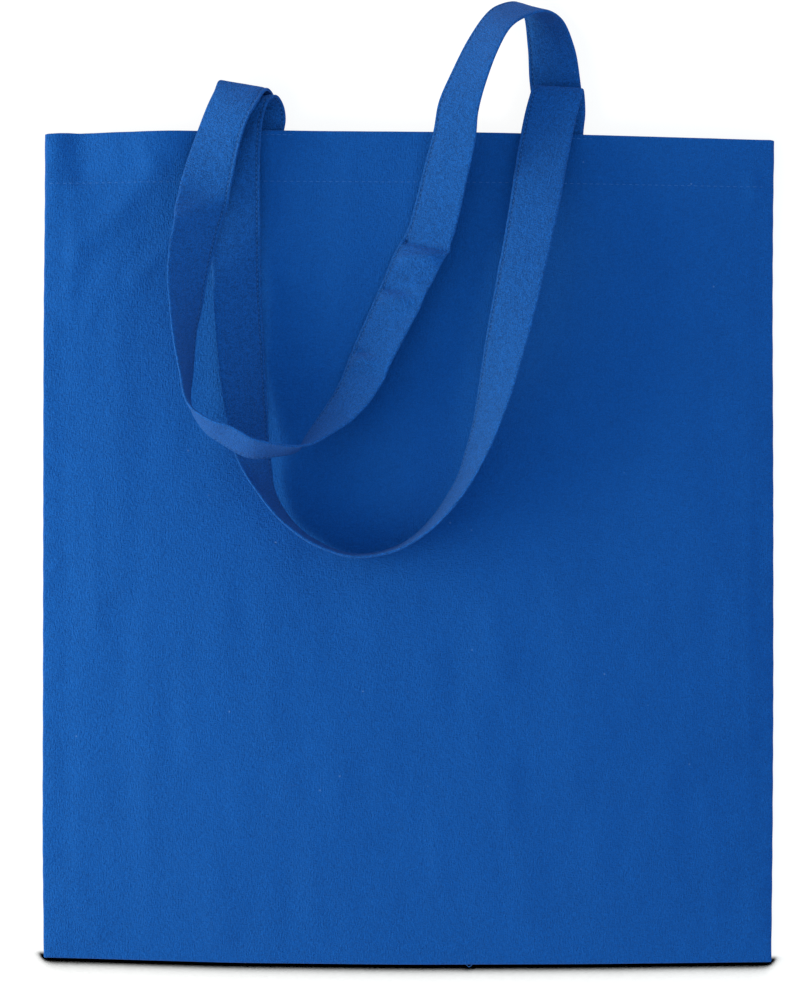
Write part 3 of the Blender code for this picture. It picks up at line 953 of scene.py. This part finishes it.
def stitchRow(name, centres, ahead, up, length, thick):
    places, faces = stitchShape
    ahead = unit(ahead)
    side = unit(np.cross(up, ahead))
    up = unit(np.cross(ahead, side))
    lift = thick * (0.5 - stitch["sink"])
    rows = (centres[:, None] + ahead[:, None] * (places[None, :, :1] * length)
            + side[:, None] * (places[None, :, 1:2] * thick)
            + up[:, None] * (places[None, :, 2:] * thick + lift))
    offsets = np.arange(len(centres)) * len(places)
    allFaces = [tuple(v + o for v in f) for o in offsets.tolist() for f in faces]
    return addMesh(name, rows.reshape(-1, 3), allFaces, thread)


def alongTape(line, creases, seed, face):      # stitch places on one face of a tape
    across = -tape["width"] / 2 + tape["stitchIn"]
    bend = tapeBend(line["length"], np.full_like(line["length"], across), creases, seed)
    track = line["place"] + line["width"] * across + line["face"] * (face * tape["stitchHigh"] + bend)[:, None]
    run = np.concatenate([[0], np.cumsum(np.linalg.norm(np.diff(track, axis=0), axis=1))])
    at = np.arange(stitch["tapeFromEnd"], run[-1] - stitch["tapeFromEnd"], stitch["tapePitch"])

    def sampled(rows):
        return np.stack([np.interp(at, run, rows[:, k]) for k in range(3)], axis=-1)

    return sampled(track), sampled(np.gradient(track, axis=0)), sampled(line["face"]) * face


stitches = []
for name, *sewn in (("frontTape", frontLine, frontCreases, frontSeed), ("backTape", backLine, backCreases, backSeed)):
    for face, word in ((1, "Over"), (-1, "Under")):
        places = alongTape(*sewn, face)
        stitches.append(stitchRow(name + "Stitches" + word, *places, stitch["tapeLength"], stitch["tapeThick"]))

hemX = np.arange(-halfWidth + stitch["hemFrom"][0], halfWidth - stitch["hemFrom"][1], stitch["hemPitch"])
hemInsideX = hemX[stitch["hemInsideFewer"]:-stitch["hemInsideFewer"]]
hemY = mouth - bag["hemDepth"] + bag["hemStitchIn"]


def panelStitches(name, x, y, onBack, inner):   # a level row on a panel's outer or inner face
    step = 0.5 * mm
    y = np.full_like(x, y)
    if onBack:
        newX, newY = settled(x, y, False)
        centres = np.stack([newX, newY, np.full_like(x, folded if inner else bag["backUneven"][0])], axis=-1)
        ahead = np.tile([1.0, 0.0, 0.0], (len(x), 1))
        up = np.tile([0.0, 0.0, 1.0 if inner else -1.0], (len(x), 1))
    else:
        centres = frontPoint(x, y, -folded if inner else 0.0)
        ahead = frontPoint(x + step, y) - frontPoint(x, y)
        up = unit(np.cross(ahead, frontPoint(x, y + step) - frontPoint(x, y))) * (-1 if inner else 1)
    return stitchRow(name, centres, ahead, up, stitch["hemLength"], stitch["hemThick"])


for word, onBack in (("front", False), ("back", True)):
    stitches.append(panelStitches(word + "HemStitches", hemX, hemY, onBack, False))
    stitches.append(panelStitches(word + "HemStitchesInside", hemInsideX, hemY, onBack, True))
    for side, end in (("Left", -1), ("Right", 1)):      # where a handle's end is held at the mouth
        tackX = end * (tape["spacing"] / 2) + np.arange(*stitch["tackReach"], stitch["tackPitch"])
        stitches.append(panelStitches(word + "HemTack" + side, tackX, mouth - stitch["tackIn"], onBack, False))
print("stitches made")

# loose thread ends and lint: short cords swept along a few points

# in mm, seen from above, each with its height over the front panel or, below the bottom edge, over the floor
looseEnds = (
    ("bottomThread", 0.30, (
        (30.5, -206, 0.2), (30.0, -209, 0.1), (29.2, -211.6, -0.4), (30.8, -213.4, -1.2),
        (32.6, -212.4, -1.3), (31.8, -211.4, -1.0))),
    ("bottomThreadShort", 0.26, ((29.6, -207, 0.2), (29.9, -210, 0.0), (30.2, -212.4, -1.0))),
)
looseSides, looseSteps = 5, 6       # round a thread, and between two of its points
lintThick = 0.09
lintHigh = 0.06                     # over the panel
lintCurl = (0.9, 3, 0.8, 4)         # how far it curls across and how often, and the same along
lintEnds = (                        # x, y, length and heading of each
    (-60, -121, 8, 20), (12, -158, 6, 110), (66, -95, 7, 60), (118, -144, 5, 160), (-118, -171, 6, 75),
    (36, -178, 7, 10), (142, -62, 5, 95), (-30, -84, 5, 140), (96, 12, 5, 40), (-140, 62, 5, 120),
)
panelEnd = -209.0                   # the front panel's lowest y that a thread end is placed by


def cordMesh(name, points, thick):
    rows = np.array(points) * mm
    at = np.linspace(0, 1, len(rows))
    fine = np.linspace(0, 1, looseSteps * (len(rows) - 1) + 1)
    track = np.stack([np.interp(fine, at, rows[:, k]) for k in range(3)], axis=-1)
    kernel = np.array([1, 2, 3, 2, 1]) / 9
    padded = np.pad(track, ((2, 2), (0, 0)), mode="edge")
    track = np.stack([np.convolve(padded[:, k], kernel, mode="valid") for k in range(3)], axis=-1)
    ahead = unit(np.gradient(track, axis=0))
    side = unit(np.cross(ahead, [0.0, 0.0, 1.0]))
    above = np.cross(side, ahead)
    sides = looseSides
    turns = np.arange(sides) * 2 * math.pi / sides
    ring = side[:, None] * np.cos(turns)[None, :, None] + above[:, None] * np.sin(turns)[None, :, None]
    places = (track[:, None] + ring * (thick * mm / 2)).reshape(-1, 3)
    faces = []
    for i in range(len(track) - 1):
        for k in range(sides):
            n = (k + 1) % sides
            faces.append((i * sides + k, i * sides + n, (i + 1) * sides + n, (i + 1) * sides + k))
    faces += [tuple(range(sides))[::-1], tuple(range(len(places) - sides, len(places)))]
    return addMesh(name, places, outward(places, faces), thread)


def onPanel(points):                # heights over the front panel made into true ones
    made = []
    for x, y, high in points:
        level = float(frontPoint(np.array([x * mm]), np.array([max(y, panelEnd) * mm]))[0, 2]) / mm
        made.append((x, y, level + high))
    return made


ends = [cordMesh(name, onPanel(points), thick) for name, thick, points in looseEnds]
aside, oftenAside, along, oftenAlong = lintCurl
for number, (x, y, long, heading) in enumerate(lintEnds):
    turn = math.radians(heading)
    curl = [(x + long / 2 * math.cos(turn) * k + aside * math.sin(oftenAside * k + number),
             y + long / 2 * math.sin(turn) * k + along * math.cos(oftenAlong * k), lintHigh)
            for k in (-1, -0.5, 0, 0.5, 1)]
    ends.append(cordMesh(f"lint{number + 1}", onPanel(curl), lintThick))
stitches += ends
print("loose ends made")

for piece in (bagCloth, frontTape, backTape, *stitches):
    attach(piece, "root")
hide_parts("bag_body")
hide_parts("front_handle")
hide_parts("back_handle")
